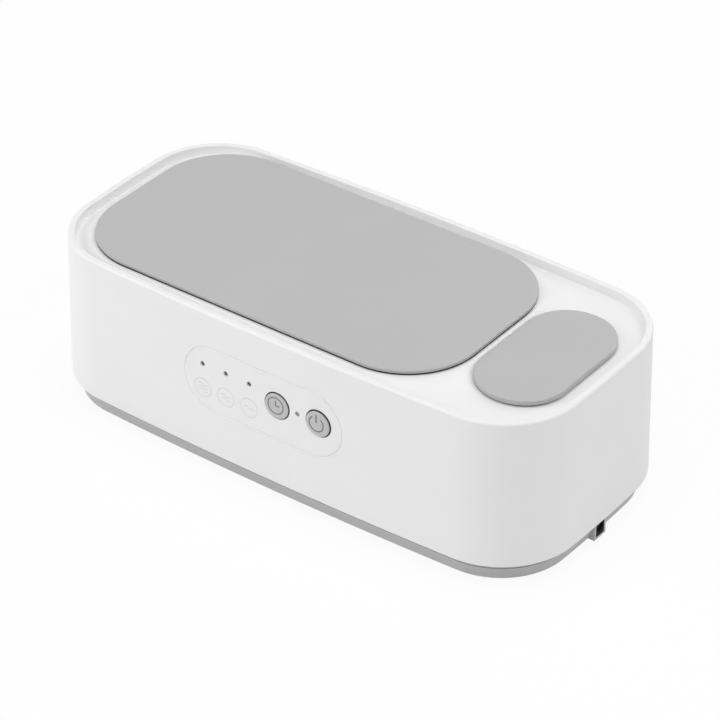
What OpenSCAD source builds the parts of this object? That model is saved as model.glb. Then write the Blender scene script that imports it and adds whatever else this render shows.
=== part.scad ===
// Ultrasonic eyeglass cleaner: a low white casing on a tapered grey base, a steel tank under a
// grey lift-off lid, a small lens well under its own lid, and a button panel on the front.
// X runs along the length with the lens well at +X, the buttons face -Y, Z is up from the feet.

/* [Casing] */
// Length of the casing at its lower edge, mid-end to mid-end
casing_l = 210.2; // [205:0.2:225]
// Width of the casing at its lower edge, mid-side to mid-side
casing_w = 100.3; // [98:0.1:110]
// Height of the casing from its lower edge to the rim
casing_h = 56.9; // [54:0.1:70]
// Corner radius in plan at the lower edge
corner_r = 30; // [27:0.5:33]
// Radius of the slight bow along the long sides
side_r = 1745; // [1400:5:2500]
// Radius of the slight bow across the ends
end_r = 627; // [500:1:900]
// How far the walls lean in from the lower edge to the rim
draft = 1.1; // [0.6:0.1:1.6]
// Wall thickness of the casing
wall = 2.2; // [2:0.1:2.6]
// Thickness of the deck
deck_t = 2.4; // [2:0.1:3]
// Height of the rim above the deck
rim_depth = 3.3; // [2.5:0.1:4]
// Width of the rim seen from above
rim_w = 2.55; // [2:0.05:2.8]
// Rounding of the outer rim edge
rim_edge = 0.9; // [0.5:0.1:1.2]
// Height of the raised collar under the main lid, above the deck
collar_h = 1.6; // [1.2:0.05:1.8]
// How far the collar stands out beyond the main lid
collar_out = 1.7; // [1:0.1:1.8]

/* [Base] */
// Height of the tapered base below the casing
base_h = 7.5; // [7:0.1:9]
// Inset of the base at the bottom from the casing's lower edge
base_inset = 3.8; // [3:0.1:4.4]
// Inset of the base at the top, the shadow line under the casing
base_reveal = 1.7; // [1.4:0.1:1.9]
// Rounding of the bottom edge of the base
base_edge = 1.1; // [0.8:0.1:1.4]
// Thickness of the base floor
base_floor = 2; // [1.8:0.1:2.4]
// Wall thickness of the base
base_wall = 2; // [1.6:0.1:2.4]
// Diameter of a rubber foot
foot_d = 12; // [10:0.5:14]
// How far a foot stands below the base
foot_proud = 1.3; // [1:0.1:2]

/* [Main lid] */
// Deck between the casing's -X end and the main lid
lid_end = 10.1; // [9.5:0.05:14]
// Deck between a long side of the casing and the main lid
lid_side = 8.15; // [7.5:0.05:10]
// Gap between the two lids
lid_gap = 2.35; // [2.1:0.05:4]
// Corner radius of the main lid
lid_r = 27.5; // [26:0.1:29]
// Thickness of the main lid's plate
lid_t = 1.25; // [1:0.05:1.4]
// Height of the main lid above the rim
lid_rise = 0.5; // [0.2:0.1:0.8]
// Overhang of the main lid beyond its seal
lid_overhang = 2.1; // [1.6:0.1:2.3]
// Width of the main lid seal
seal_w = 2.4; // [2:0.1:2.6]

/* [Small lid] */
// Length of the small lid along X
cap_l = 32.7; // [31:0.1:34]
// Deck between the casing's +X end and the small lid
cap_end = 9.55; // [9:0.05:12]
// Deck between a long side of the casing and the small lid
cap_side = 20.75; // [19:0.05:22]
// Thickness of the small lid's plate
cap_t = 1.8; // [1.5:0.05:2]
// Height of the small lid's seal above the deck
cap_seal_h = 0.7; // [0.5:0.1:1]
// Overhang of the small lid beyond its seal
cap_overhang = 1; // [0.8:0.1:1.6]

/* [Tank and well] */
// Room between the driver board and the tank's underside
tank_clear = 9; // [8.5:0.5:12]
// Thickness of the drawn steel
sheet_t = 0.8; // [0.6:0.1:1]
// Rounding of the tank floor edge
tank_edge = 5; // [3:0.5:6]
// Depth of the lens well below its flange
well_depth = 22; // [18:0.5:26]
// Diameter of the piezo disc under the tank
piezo_d = 45; // [38:1:50]
// Thickness of the piezo disc
piezo_t = 3; // [2.4:0.1:3.4]

/* [Control panel] */
// Middle of the panel along the length
panel_x = -1.8; // [-4:0.1:2]
// Middle of the panel below the rim
panel_drop = 25.9; // [25:0.1:27]
// Length of the panel
panel_l = 67.2; // [66:0.1:72]
// Height of the panel
panel_h = 25.1; // [24:0.1:27]
// Diameter of a button cap
button_d = 9.7; // [9.2:0.1:10.2]
// How far a button cap stands proud of the panel
button_proud = 0.5; // [0.3:0.1:0.6]
// Diameter of an indicator light
light_d = 1.8; // [1.5:0.1:2]

/* [Power inlet] */
// Middle of the power inlet across the width
inlet_y = -0.9; // [-3:0.1:3]
// Width of the inlet opening
inlet_w = 4.9; // [4.8:0.1:5.4]
// Bore of the power socket
socket_bore = 3.7; // [3.5:0.1:3.9]

/* [Hidden] */
$fn = 48;

white = [0.93, 0.93, 0.93];
grey = [0.72, 0.72, 0.72];
steel = [0.78, 0.79, 0.8];
rubber = [0.2, 0.2, 0.21];
board_green = [0.1, 0.35, 0.2];
black = [0.07, 0.07, 0.07];
brass = [0.8, 0.65, 0.35];

// Shared clearances
eps = 0.02;
bury = 0.6;
slip = 0.3;
fine_gap = 0.1;
thread_gap = 0.05;
lid_slip = 0.6;

// Levels along Z
base_z = foot_proud;
floor_z = base_z + base_floor;
part_z = base_z + base_h;
rim_z = part_z + casing_h;
deck_z = rim_z - rim_depth;
deck_under = deck_z - deck_t;
gasket_t = 1;
flange_z = deck_under - gasket_t;
clamp_z = flange_z - sheet_t;
clamp_t = 3;
board_t = 1.6;
standoff_h = 4;
driver_z = floor_z + standoff_h;
driver_top = driver_z + board_t;
tank_bottom = driver_top + tank_clear;
tank_floor = tank_bottom + sheet_t;
well_floor = flange_z - well_depth;
collar_z = deck_z + collar_h;
lid_top = rim_z + lid_rise;
lid_under = lid_top - lid_t;
cap_under = deck_z + cap_seal_h;

// Bowed outline of the casing: a side arc, an end arc and a corner arc tangent to both
end_n = 4;
corner_n = 12;
side_n = 6;
side_c = [0, casing_w / 2 - side_r];
end_c = [casing_l / 2 - end_r, 0];
span = norm(end_c - side_c);
along = (end_c - side_c) / span;
reach_s = side_r - corner_r;
reach_e = end_r - corner_r;
foot_a = (reach_s * reach_s - reach_e * reach_e + span * span) / (2 * span);
rise_a = sqrt(reach_s * reach_s - foot_a * foot_a);
corner_c = side_c + foot_a * along + rise_a * [along[1], -along[0]];
end_a = atan2((corner_c - end_c)[1], (corner_c - end_c)[0]);
side_a = atan2((corner_c - side_c)[1], (corner_c - side_c)[0]);

// Lids between the rim and each other
lid_l = casing_l - lid_end - lid_gap - cap_l - cap_end;
lid_w = casing_w - 2 * lid_side;
lid_x = lid_end + lid_l / 2 - casing_l / 2;
cap_w = casing_w - 2 * cap_side;
cap_x = casing_l / 2 - cap_end - cap_l / 2;
cap_flat = 0.7;
cap_r = (cap_l - cap_flat) / 2;
lid_edge = 0.4;

// Openings through the deck, stepped in from the lids
skirt_t = 1.5;
skirt_drop = 4;
tank_ledge = 1.4;
tank_in = lid_overhang + seal_w + tank_ledge;
tank_l = lid_l - 2 * tank_in;
tank_w = lid_w - 2 * tank_in;
tank_r = lid_r - tank_in;
cap_seal_w = 2.2;
well_ledge = 1.2;
well_in = cap_overhang + cap_seal_w + well_ledge;
well_l = cap_l - 2 * well_in;
well_w = cap_w - 2 * well_in;
well_r = cap_r - well_in;
flange_w = 3.5;
well_flange_w = 2.8;

// Screws that hold the clamp, and the posts that hold the base
screw_d = 2.2;
screw_head_d = 4.2;
screw_head_h = 1.5;
boss_d = 5;
ear_out = 3.2;
clamp_step = tank_l / 3;
clamp_pts = concat(
    [for (i = [-1 : 1], s = [-1, 1]) [lid_x + i * clamp_step, s * (tank_w / 2 + flange_w + ear_out)]],
    [for (s = [-1, 1]) [cap_x, s * (well_w / 2 + well_flange_w + ear_out)]]);
post_d = 6.4;
post_end = 17;
post_side = 15;
post_x = casing_l / 2 - post_end;
post_y = casing_w / 2 - post_side;
post_pts = [for (sx = [-1, 1], sy = [-1, 1]) [sx * post_x, sy * post_y]];
base_screw_d = 2.6;
base_screw_head = 5.4;
base_screw_bite = 8;
well_web = 3;
foot_end = 31;
foot_side = 20;
foot_x = casing_l / 2 - foot_end;
foot_y = casing_w / 2 - foot_side;
foot_pts = [for (sx = [-1, 1], sy = [-1, 1]) [sx * foot_x, sy * foot_y]];
foot_sink = 1;
foot_taper = 1;

// Levels along Y behind the panel
panel_z = casing_h - panel_drop;
panel_mid = part_z + panel_z;
front_y = -(casing_w / 2 - draft * panel_z / casing_h);
panel_t = 1.2;
seam = 0.1;
inside_y = front_y + wall;
flange_gap = 0.6;
cap_flange_t = 1;
cap_flange_w = 1.1;
stem_l = 2.1;
plunger_out = 0.8;
plunger_y = inside_y + stem_l;
switch_y = plunger_y + plunger_out;
switch_t = 3.5;
switch_l = 6;
plunger_d = 3.4;
plunger_t = 1.5;
plunger_room = 0.9;
board_y = switch_y + switch_t;
led = [2, 0.8, 1.4];
pipe_flange_w = 0.5;
pipe_flange_t = 1;
pipe_sink = 0.6;
timer_dx = 6.65;
power_dx = 23.9;
button_dz = 0.95;
mode_dx = -25.6;
mode_step = 10.1;
mode_dz = 4.7;
power_light = [15.1, 1.1];
button_pts = [for (dx = [timer_dx, power_dx]) [panel_x + dx, panel_mid + button_dz]];
light_pts = concat([for (i = [0 : 2]) [panel_x + mode_dx + mode_step * i, panel_mid + mode_dz]],
    [[panel_x, panel_mid] + power_light]);
board_over = 5.5;
board_hole_in = 3;
board_bite = 4.4;
board_l = panel_l + 2 * board_over;
board_h = 22;
board_pts = [for (s = [-1, 1]) [panel_x + s * (board_l / 2 - board_hole_in), panel_mid]];

// Driver board on the base floor, its tall parts beyond the end of the tank
heat = [24, 2, 16];
fin = [1.4, 5, 16];
core = [16, 18, 15];
coil_wall = 3;
coil_proud = 1;
transistor = [9.5, 4.5, 14];
transistor_dx = 6;
tall_gap = 2.75;
core_gap = 3.75;
tank_end = lid_x + tank_l / 2 + sheet_t;
heat_x = tank_end + tall_gap + heat[0] / 2;
heat_y = -15;
core_x = tank_end + core_gap + core[0] / 2;
core_y = 11;
driver_l = 70;
driver_w = 56;
driver_rim = 2;
driver_hole_in = 4;
driver_x1 = heat_x + heat[0] / 2 + driver_rim;
driver_x0 = driver_x1 - driver_l;
standoff_d = 6;
driver_pts = [for (x = [driver_x0 + driver_hole_in, driver_x1 - driver_hole_in], s = [-1, 1])
    [x, s * (driver_w / 2 - driver_hole_in)]];
plug = [5, 6, 5];
plug_in = 4.5;
harness_y = -14;
piezo_y = 4;
plug_pts = [[driver_x0 + plug_in, harness_y], [driver_x0 + plug_in, piezo_y],
    [driver_x1 - plug[0] / 2, inlet_y]];
chip = [7, 9, 1.8];
chip_at = [driver_x0 + 14, -9];
choke_at = [driver_x0 + 26, -9];
choke_d = 13;
choke_bore = 5.5;
choke_h = 5;
can_at = [driver_x0 + 14, 14];
can_step = 9;
can_d = 7;
can_h = 7;

// Power inlet at the +X end
inlet_set = 1.15;
inlet_x = casing_l / 2 - inlet_set;
inlet_wall = 1.05;
inlet_len = 12;
inlet_sill = 0.95;
inlet_head = 0.8;
inlet_z0 = base_z + inlet_sill;
inlet_z1 = part_z - inlet_head;
socket_sink = 0.3;
socket_l = 10.2;
socket_x1 = inlet_x - socket_sink;
socket_x0 = socket_x1 - socket_l;
socket_deep = 8;
socket_z = (inlet_z0 + inlet_z1) / 2;
pin_d = 1.25;
pin_short = 0.8;

// Leads: radius, spacing and the straight run at each end
lead_r = 0.6;
lead_pitch = 1.5;
inlet_pitch = 1.2;
lead_run = 1.2;
harness_r = 0.8;
harness_out = 8;
harness_run = 3;

// Points of an arc, its last point left out
function arc_pts(c, r, a0, a1, n) =
    [for (i = [0 : n - 1]) c + r * [cos(a0 + (a1 - a0) * i / n), sin(a0 + (a1 - a0) * i / n)]];

// First quarter of the casing outline, moved in by o
function quarter(o) = concat(
    arc_pts(end_c, end_r - o, 0, end_a, end_n),
    arc_pts(corner_c, corner_r - o, end_a, side_a, corner_n),
    arc_pts(side_c, side_r - o, side_a, 90, side_n),
    [[0, casing_w / 2 - o]]);

function half(q) = concat(
    [for (i = [0 : len(q) - 2]) q[i]],
    [for (i = [len(q) - 1 : -1 : 1]) [-q[i][0], q[i][1]]]);

function outline(o) = concat(half(quarter(o)), [for (p = half(quarter(o))) -p]);

// Rounded rectangle moved in by o
corner_steps = 12;
function rounded(l, w, r, o) =
    [for (q = [0 : 3], i = [0 : corner_steps])
        let (a = 90 * q + 90 * i / corner_steps)
        let (sx = q == 0 || q == 3 ? 1 : -1)
        let (sy = q < 2 ? 1 : -1)
        [sx * (l / 2 - r) + (r - o) * cos(a), sy * (w / 2 - r) + (r - o) * sin(a)]];

function tank_line(o) = rounded(tank_l, tank_w, tank_r, o);

function well_line(o) = rounded(well_l, well_w, well_r, o);

// Lean of the casing wall at height z
function lean(z) = draft * (z - part_z) / casing_h;

// Round tube along points, its rings square to the mean direction
tube_n = 8;
function ring_dir(p, i) =
    let (v = p[min(i + 1, len(p) - 1)] - p[max(i - 1, 0)])
    v / norm(v);
ring_ref = [1, -1, 0];
function ring_side(d) = cross(d, ring_ref) / norm(cross(d, ring_ref));
function tube_pts(p, r) =
    [for (i = [0 : len(p) - 1], j = [0 : tube_n - 1])
        let (d = ring_dir(p, i))
        let (u = ring_side(d))
        let (a = 360 * j / tube_n)
        p[i] + r * (cos(a) * u + sin(a) * cross(d, u))];
function tube_faces(m) = concat(
    [[for (j = [0 : tube_n - 1]) j]],
    [for (i = [0 : m - 2], j = [0 : tube_n - 1])
        [i * tube_n + j, (i + 1) * tube_n + j, (i + 1) * tube_n + (j + 1) % tube_n]],
    [for (i = [0 : m - 2], j = [0 : tube_n - 1])
        [i * tube_n + j, (i + 1) * tube_n + (j + 1) % tube_n, i * tube_n + (j + 1) % tube_n]],
    [[for (j = [tube_n - 1 : -1 : 0]) (m - 1) * tube_n + j]]);

module tube(p, r) {
    polyhedron(tube_pts(p, r), tube_faces(len(p)), convexity = 4);
}

// Moves its children to point p at height z
module at(p, z) {
    translate([p[0], p[1], z]) children();
}

module slab(o, z, t) {
    translate([0, 0, z]) linear_extrude(t) polygon(outline(o));
}

// Outer form of the casing moved in by o
module casing_form(o) {
    hull() {
        slab(o, part_z, eps);
        slab(o + lean(rim_z - rim_edge), rim_z - rim_edge - eps, eps);
        slab(o + draft + 0.3 * rim_edge, rim_z - 0.3 * rim_edge - eps, eps);
        slab(o + draft + rim_edge, rim_z - eps, eps);
    }
}

// Plate with a rounded upper edge
module soft_plate(l, w, r, z, t, edge) {
    translate([0, 0, z]) hull() {
        linear_extrude(t - edge) polygon(rounded(l, w, r, 0));
        linear_extrude(t - 0.3 * edge) polygon(rounded(l, w, r, 0.3 * edge));
        linear_extrude(t) polygon(rounded(l, w, r, edge));
    }
}

// Flat ring between two lines
module flat_ring(outer, inner, z, t) {
    translate([0, 0, z]) linear_extrude(t) difference() {
        polygon(outer);
        polygon(inner);
    }
}

// Drawn basin form with a rounded floor edge, moved out by o
module basin(l, w, r, o, z0, z1, edge) {
    hull() {
        translate([0, 0, z0 + edge]) linear_extrude(z1 - z0 - edge) polygon(rounded(l, w, r, -o));
        translate([0, 0, z0 + 0.3 * edge]) linear_extrude(eps) polygon(rounded(l, w, r, 0.3 * edge - o));
        translate([0, 0, z0]) linear_extrude(eps) polygon(rounded(l, w, r, edge - o));
    }
}

// Cylinder along +Y from y0 to y1 at point p of the front
module rod_y(p, y0, y1, d) {
    translate([p[0], y0, p[1]]) rotate([-90, 0, 0]) cylinder(d = d, h = y1 - y0);
}

// Stadium prism of the panel, moved in by o
module panel_prism(o) {
    translate([panel_x, 0, panel_mid]) rotate([90, 0, 0])
        linear_extrude(casing_w) polygon(rounded(panel_l, panel_h, panel_h / 2 - 0.2, o));
}

module panel_holes() {
    for (p = button_pts) rod_y(p, -casing_w, inside_y + bury, button_d + 2 * slip);
    for (p = light_pts) rod_y(p, -casing_w, inside_y + bury, light_d + 2 * thread_gap);
}

// Pan-head screw: underside of the head at 0, shank along +Z
module screw(d, l, head_d, head_h) {
    slot = head_d / 5;
    difference() {
        union() {
            cylinder(d = d - 2 * thread_gap, h = l);
            translate([0, 0, -head_h]) cylinder(d = head_d, h = head_h);
        }
        for (a = [0, 90]) rotate(a)
            translate([-head_d / 3, -slot / 2, -head_h - eps]) cube([head_d / 1.5, slot, head_h / 2]);
    }
}

module upper_casing() color(white) difference() {
    union() {
        difference() {
            casing_form(0);
            hull() {
                slab(wall - lean(part_z + 1), part_z - 1, eps);
                slab(wall + lean(deck_under), deck_under - eps, eps);
            }
        }
        for (p = post_pts) at(p, part_z) cylinder(d = post_d, h = deck_under + bury - part_z);
        for (p = clamp_pts) at(p, clamp_z) cylinder(d = boss_d, h = deck_under + bury - clamp_z);
        for (p = board_pts) rod_y(p, inside_y - bury, board_y, boss_d);
    }
    difference() {
        slab(draft + rim_w, deck_z, 2 * rim_depth);
        translate([lid_x, 0, deck_z - 1]) linear_extrude(collar_h + 1)
            polygon(rounded(lid_l, lid_w, lid_r, -collar_out));
    }
    translate([lid_x, 0, deck_under - 1]) linear_extrude(deck_t + collar_h + 2) polygon(tank_line(0));
    translate([cap_x, 0, deck_under - 1]) linear_extrude(2 * deck_t) polygon(well_line(0));
    difference() {
        panel_prism(0);
        casing_form(panel_t);
    }
    panel_holes();
    for (p = post_pts) at(p, part_z - 1) cylinder(d = base_screw_d, h = base_screw_bite + 3);
    for (p = clamp_pts) at(p, clamp_z - 1) cylinder(d = screw_d, h = gasket_t + sheet_t + 2.4);
    for (p = board_pts) rod_y(p, board_y - board_bite - bury, board_y + 1, screw_d);
}

module control_panel() color(white) difference() {
    intersection() {
        casing_form(0);
        panel_prism(seam);
    }
    casing_form(panel_t);
    panel_holes();
}

module base_cover() color(grey) difference() {
    union() {
        difference() {
            hull() {
                slab(base_reveal, part_z - eps, eps);
                slab(base_inset - 0.5 * base_edge, base_z + base_edge, eps);
                slab(base_inset, base_z + 0.3 * base_edge, eps);
                slab(base_inset + 0.7 * base_edge, base_z, eps);
            }
            hull() {
                slab(base_reveal + base_wall, part_z + eps, eps);
                slab(base_inset + base_wall, floor_z, eps);
            }
        }
        base_lip();
        base_fixtures();
    }
    for (p = post_pts) at(p, base_z - 1) {
        cylinder(d = base_screw_head + 0.8, h = base_h - well_web + 1);
        cylinder(d = base_screw_d + 0.6, h = base_h + 4);
    }
    for (p = foot_pts) at(p, base_z - 1) cylinder(d = foot_d, h = foot_sink + 1);
    for (p = driver_pts) at(p, floor_z) cylinder(d = screw_d, h = standoff_h + 1);
    translate([inlet_x - inlet_len - 1, inlet_y - inlet_w / 2, inlet_z0])
        cube([inlet_len + 2, inlet_w, inlet_z1 - inlet_z0]);
}

// Locating lip inside the casing wall, cut back where the inlet boss rises
module base_lip() {
    lip_h = 2.5;
    lip_t = 1.4;
    lip_in = wall + 0.15;
    difference() {
        slab(lip_in, part_z - 3, lip_h + 3);
        slab(lip_in + lip_t, part_z - 4, lip_h + 5);
    }
}

module base_fixtures() {
    boss_w = inlet_w + 2 * inlet_wall;
    for (p = post_pts) at(p, base_z + eps) cylinder(d = base_screw_head + 2.4, h = base_h - eps);
    for (p = driver_pts) at(p, base_z + 1) cylinder(d = standoff_d, h = driver_z - base_z - 1);
    translate([inlet_x - inlet_len, inlet_y - boss_w / 2, base_z]) cube([inlet_len, boss_w, base_h - eps]);
}

module main_lid() color(grey) translate([lid_x, 0, 0]) {
    soft_plate(lid_l, lid_w, lid_r, lid_under, lid_t, lid_edge);
    flat_ring(tank_line(lid_slip), tank_line(lid_slip + skirt_t),
        deck_z - skirt_drop, lid_under + eps - deck_z + skirt_drop);
}

module main_lid_seal() color(rubber) translate([lid_x, 0, 0])
    flat_ring(rounded(lid_l, lid_w, lid_r, lid_overhang),
        rounded(lid_l, lid_w, lid_r, lid_overhang + seal_w), collar_z, lid_under - collar_z);

module small_lid() color(grey) translate([cap_x, 0, 0]) {
    soft_plate(cap_l, cap_w, cap_r, cap_under, cap_t, lid_edge);
    flat_ring(well_line(lid_slip), well_line(lid_slip + skirt_t),
        deck_z - skirt_drop, cap_under + eps - deck_z + skirt_drop);
}

module small_lid_seal() color(rubber) translate([cap_x, 0, 0])
    flat_ring(rounded(cap_l, cap_w, cap_r, cap_overhang),
        rounded(cap_l, cap_w, cap_r, cap_overhang + cap_seal_w), deck_z, cap_seal_h);

module tank() color(steel) translate([lid_x, 0, 0]) difference() {
    union() {
        translate([0, 0, clamp_z]) linear_extrude(sheet_t) polygon(tank_line(-flange_w));
        basin(tank_l, tank_w, tank_r, sheet_t, tank_bottom, flange_z, tank_edge + sheet_t);
    }
    basin(tank_l, tank_w, tank_r, 0, tank_floor, flange_z + 1, tank_edge);
}

module tank_gasket() color(rubber) translate([lid_x, 0, 0])
    flat_ring(tank_line(-flange_w), tank_line(-0.5), flange_z, gasket_t);

module lens_well() color(steel) translate([cap_x, 0, 0]) difference() {
    union() {
        translate([0, 0, clamp_z]) linear_extrude(sheet_t) polygon(well_line(-well_flange_w));
        basin(well_l, well_w, well_r, sheet_t, well_floor - sheet_t, flange_z, tank_edge + sheet_t);
    }
    basin(well_l, well_w, well_r, 0, well_floor, flange_z + 1, tank_edge);
}

module lens_well_gasket() color(rubber) translate([cap_x, 0, 0])
    flat_ring(well_line(-well_flange_w), well_line(-0.5), flange_z, gasket_t);

// One frame that presses both flanges up against the deck
module flange_clamp() color(grey) translate([0, 0, clamp_z - clamp_t]) linear_extrude(clamp_t) difference() {
    union() {
        translate([lid_x, 0]) polygon(tank_line(-flange_w));
        translate([cap_x, 0]) polygon(well_line(-well_flange_w));
        translate([lid_x + tank_l / 2, -tank_w / 4])
            square([cap_x - well_l / 2 - lid_x - tank_l / 2, tank_w / 2]);
        for (p = clamp_pts) clamp_ear(p);
    }
    translate([lid_x, 0]) polygon(tank_line(-sheet_t - slip));
    translate([cap_x, 0]) polygon(well_line(-sheet_t - slip));
    for (p = clamp_pts) translate(p) circle(d = screw_d + 0.3);
}

module clamp_ear(p) {
    translate(p) circle(d = boss_d);
    translate([p[0] - boss_d / 2, p[1] > 0 ? p[1] - ear_out - 1 : p[1]]) square([boss_d, ear_out + 1]);
}

module clamp_screws() color(steel) for (p = clamp_pts)
    at(p, clamp_z - clamp_t) screw(screw_d, clamp_t + gasket_t + sheet_t + 1, screw_head_d, screw_head_h);

module piezo_disc() color(white) at([lid_x, 0], tank_bottom - piezo_t) cylinder(d = piezo_d, h = piezo_t);

module piezo_leads() color([0.6, 0.1, 0.1]) {
    x0 = lid_x + piezo_d / 6;
    x1 = plug_pts[1][0] - plug[0] / 2;
    z0 = tank_bottom - piezo_t;
    z1 = driver_top + plug[2] / 2;
    for (s = [-1, 1]) let (y = piezo_y + lead_pitch * s)
        tube([[x0, y, z0], [x0, y, z0 - lead_run], [x0 + lead_run, y, z1 + lead_r],
            [x0 + 4 * lead_run, y, z1], [x1 - lead_run, y, z1], [x1, y, z1]], lead_r);
}

module driver_board() color(board_green) difference() {
    translate([driver_x0, -driver_w / 2, driver_z]) cube([driver_x1 - driver_x0, driver_w, board_t]);
    for (p = driver_pts) at(p, driver_z - 1) cylinder(d = screw_d + 0.4, h = board_t + 2);
}

module on_board(x, y, s) {
    translate([x - s[0] / 2, y - s[1] / 2, driver_top]) cube(s);
}

module transformer_core() color(black) difference() {
    on_board(core_x, core_y, core);
    translate([core_x - core[0] / 2 + coil_wall, core_y - core[1], driver_top + coil_wall])
        cube([core[0] - 2 * coil_wall, 2 * core[1], core[2] - 2 * coil_wall]);
}

module transformer_coil() color(brass)
    translate([core_x - core[0] / 2 + coil_wall, core_y - core[1] / 2 - coil_proud, driver_top + coil_wall])
        cube([core[0] - 2 * coil_wall, core[1] + 2 * coil_proud, core[2] - 2 * coil_wall]);

module driver_choke() color(brass) translate([choke_at[0], choke_at[1], driver_top]) difference() {
    cylinder(d = choke_d, h = choke_h);
    translate([0, 0, -1]) cylinder(d = choke_bore, h = choke_h + 2);
}

fin_n = 5;
module driver_heatsink() color(steel) {
    on_board(heat_x, heat_y, heat);
    fin_y = heat_y - (heat[1] + fin[1]) / 2 + eps;
    for (i = [0 : fin_n - 1])
        on_board(heat_x + (i / (fin_n - 1) - 0.5) * (heat[0] - fin[0]), fin_y, fin);
}

module driver_transistors() color(black) for (s = [-1, 1])
    on_board(heat_x + transistor_dx * s, heat_y + (heat[1] + transistor[1]) / 2, transistor);

module driver_capacitors() color([0.15, 0.2, 0.4]) for (i = [0 : 2])
    translate([can_at[0] + i * can_step, can_at[1], driver_top]) cylinder(d = can_d, h = can_h);

module driver_chip() color(black) on_board(chip_at[0], chip_at[1], chip);

module board_connectors() color(white) for (p = plug_pts) on_board(p[0], p[1], plug);

module driver_board_screws() color(steel) for (p = driver_pts)
    at(p, driver_top) mirror([0, 0, 1])
        screw(screw_d, board_t + standoff_h - slip, screw_head_d, screw_head_h);

module control_board() color(board_green) difference() {
    translate([panel_x - board_l / 2, board_y, panel_mid - board_h / 2]) cube([board_l, board_t, board_h]);
    for (p = board_pts) rod_y(p, board_y - 1, board_y + board_t + 1, screw_d + 0.4);
}

module switch_bodies() color(black) for (p = button_pts) difference() {
    translate([p[0] - switch_l / 2, switch_y, p[1] - switch_l / 2]) cube([switch_l, switch_t, switch_l]);
    rod_y(p, switch_y - 1, plunger_y + plunger_t + plunger_room, plunger_d + 2 * slip);
}

module status_leds() color(white) for (p = light_pts)
    translate([p[0] - led[0] / 2, board_y - led[1], p[1] - led[2] / 2]) cube(led);

module light_pipes() color(rubber) for (p = light_pts) {
    rod_y(p, front_y + pipe_sink, board_y - led[1] - fine_gap, light_d);
    rod_y(p, inside_y + flange_gap, inside_y + flange_gap + pipe_flange_t, light_d + 2 * pipe_flange_w);
}

module control_board_screws() color(steel) for (p = board_pts)
    translate([p[0], board_y + board_t, p[1]]) rotate([90, 0, 0])
        screw(screw_d, board_t + board_bite, screw_head_d, screw_head_h);

// Cable from the control board down past the tank to the driver board
module control_harness() color(black) {
    r = harness_r;
    k = harness_run;
    x0 = driver_x0 - harness_out;
    x1 = plug_pts[0][0] - plug[0] / 2;
    y0 = board_y + board_t + r;
    y1 = harness_y;
    z0 = panel_mid - board_h / 2;
    z1 = driver_top + plug[2] / 2;
    tube([[x0, y0, z0 + k], [x0, y0, z0 - 2 * k], [x0 + 0.1 * k, y0 + k / 3, z1 + 4 / 3 * k],
        [x0 + k / 3, y0 + 2 * k, z1 + r], [x0 + 2 / 3 * k, y1 - 5 / 3 * k, z1], [x0 + 1.5 * k, y1, z1],
        [x0 + 2 * k, y1, z1], [x1, y1, z1]], r);
}

// Button cap with a retaining flange behind the wall and a stem on the switch
module button_cap(p) {
    edge = 0.4;
    r = button_d / 2;
    seat = plunger_y - inside_y - flange_gap;
    face = plunger_y - front_y + button_proud;
    translate([p[0], plunger_y, p[1]]) rotate([90, 0, 0]) rotate_extrude() polygon([
        [0, 0], [plunger_d / 2, 0], [plunger_d / 2, seat - cap_flange_t],
        [r + cap_flange_w, seat - cap_flange_t], [r + cap_flange_w, seat],
        [r, seat], [r, face - edge], [r - edge, face], [0, face]]);
}

module timer_button() color(grey) button_cap(button_pts[0]);

module power_button() color(grey) button_cap(button_pts[1]);

module timer_plunger() color(black) rod_y(button_pts[0], plunger_y, plunger_y + plunger_t, plunger_d);

module power_plunger() color(black) rod_y(button_pts[1], plunger_y, plunger_y + plunger_t, plunger_d);

module dc_socket() color(black) difference() {
    translate([socket_x0, inlet_y - inlet_w / 2 + thread_gap, inlet_z0 + thread_gap])
        cube([socket_x1 - socket_x0, inlet_w - 2 * thread_gap, inlet_z1 - inlet_z0 - 2 * thread_gap]);
    translate([socket_x1 - socket_deep, inlet_y, socket_z]) rotate([0, 90, 0])
        cylinder(d = socket_bore, h = socket_deep + 1);
}

module dc_socket_pin() color(brass) translate([socket_x1 - socket_deep, inlet_y, socket_z]) rotate([0, 90, 0])
    cylinder(d = pin_d, h = socket_deep - pin_short);

module inlet_leads() color(black) {
    x1 = driver_x1;
    z1 = driver_top + plug[2] / 2;
    for (s = [-1, 1]) let (y = inlet_y + inlet_pitch * s)
        tube([[socket_x0, y, socket_z], [socket_x0 - lead_run, y, socket_z],
            [(socket_x0 + x1) / 2, y, (socket_z + z1) / 2], [x1 + lead_run, y, z1], [x1, y, z1]], lead_r);
}

module base_screws() color(steel) for (p = post_pts)
    at(p, part_z - well_web) screw(base_screw_d, well_web + base_screw_bite, base_screw_head, 2);

module rubber_feet() color(rubber) for (p = foot_pts) at(p, 0) {
    cylinder(d1 = foot_d - 2 * foot_taper, d2 = foot_d - foot_taper, h = foot_proud);
    translate([0, 0, foot_proud]) cylinder(d = foot_d - 2 * thread_gap, h = foot_sink);
}

upper_casing();
control_panel();
base_cover();
main_lid();
main_lid_seal();
small_lid();
small_lid_seal();
tank();
tank_gasket();
lens_well();
lens_well_gasket();
flange_clamp();
clamp_screws();
piezo_disc();
piezo_leads();
driver_board();
transformer_core();
transformer_coil();
driver_choke();
driver_transistors();
driver_heatsink();
driver_capacitors();
driver_chip();
board_connectors();
driver_board_screws();
control_board();
switch_bodies();
status_leds();
light_pipes();
control_board_screws();
control_harness();
timer_button();
timer_plunger();
power_button();
power_plunger();
dc_socket();
dc_socket_pin();
inlet_leads();
base_screws();
rubber_feet();
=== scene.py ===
import math

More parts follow.
